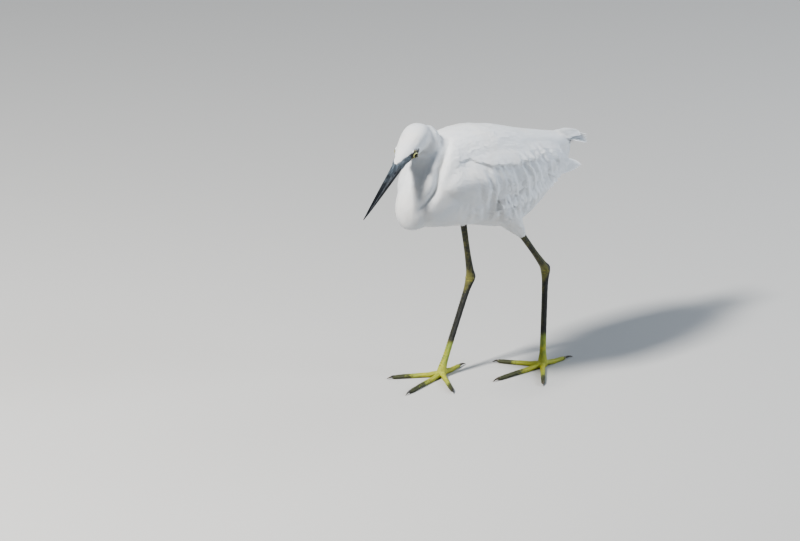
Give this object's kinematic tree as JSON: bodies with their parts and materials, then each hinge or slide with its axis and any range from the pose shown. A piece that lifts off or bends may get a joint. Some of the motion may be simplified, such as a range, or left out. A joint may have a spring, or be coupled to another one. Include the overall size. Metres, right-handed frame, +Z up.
{
  "type": "little egret",
  "caption": "Life-size museum model of a little egret in mid stride, neck drawn in and bill slanting down, resting flat on its toes.",
  "frame": {"origin": "bottom centre of the bounding box, on the floor plane under the body", "axes": "-Y is the way the bird heads, +X its left side, +Z up; the floor is Z = 0"},
  "size_m": [0.1376, 0.3818, 0.3171],
  "materials": {
    "plumage": "soft white feathers, matt",
    "horn": "black bill horn with a blue-grey base, satin",
    "iris": "wet pale yellow eye with a black pupil",
    "shank": "blackish scaled leg skin, satin",
    "foot": "yellow-green scaled toes, satin",
    "claw": "dark claw horn"
  },
  "bodies": {
    "root": {"bill_lower": "horn", "bill_upper": "horn", "claw_hind_left": "claw", "claw_hind_right": "claw", "claw_inner_left": "claw", "claw_inner_right": "claw", "claw_middle_left": "claw", "claw_middle_right": "claw", "claw_outer_left": "claw", "claw_outer_right": "claw", "eye_left": "iris", "eye_right": "iris", "foot_left": "foot", "foot_right": "foot", "head": "plumage", "neck_lower": "plumage", "neck_upper": "plumage", "shank_left": "shank", "shank_right": "shank", "shin_left": "shank", "shin_right": "shank", "tail": "plumage", "thigh_left": "plumage", "thigh_right": "plumage", "toe_hind_left": "foot", "toe_hind_right": "foot", "toe_inner_left": "foot", "toe_inner_right": "foot", "toe_middle_left": "foot", "toe_middle_right": "foot", "toe_outer_left": "foot", "toe_outer_right": "foot", "torso": "plumage", "wing_left": "plumage", "wing_right": "plumage"}
  },
  "joints": []
}
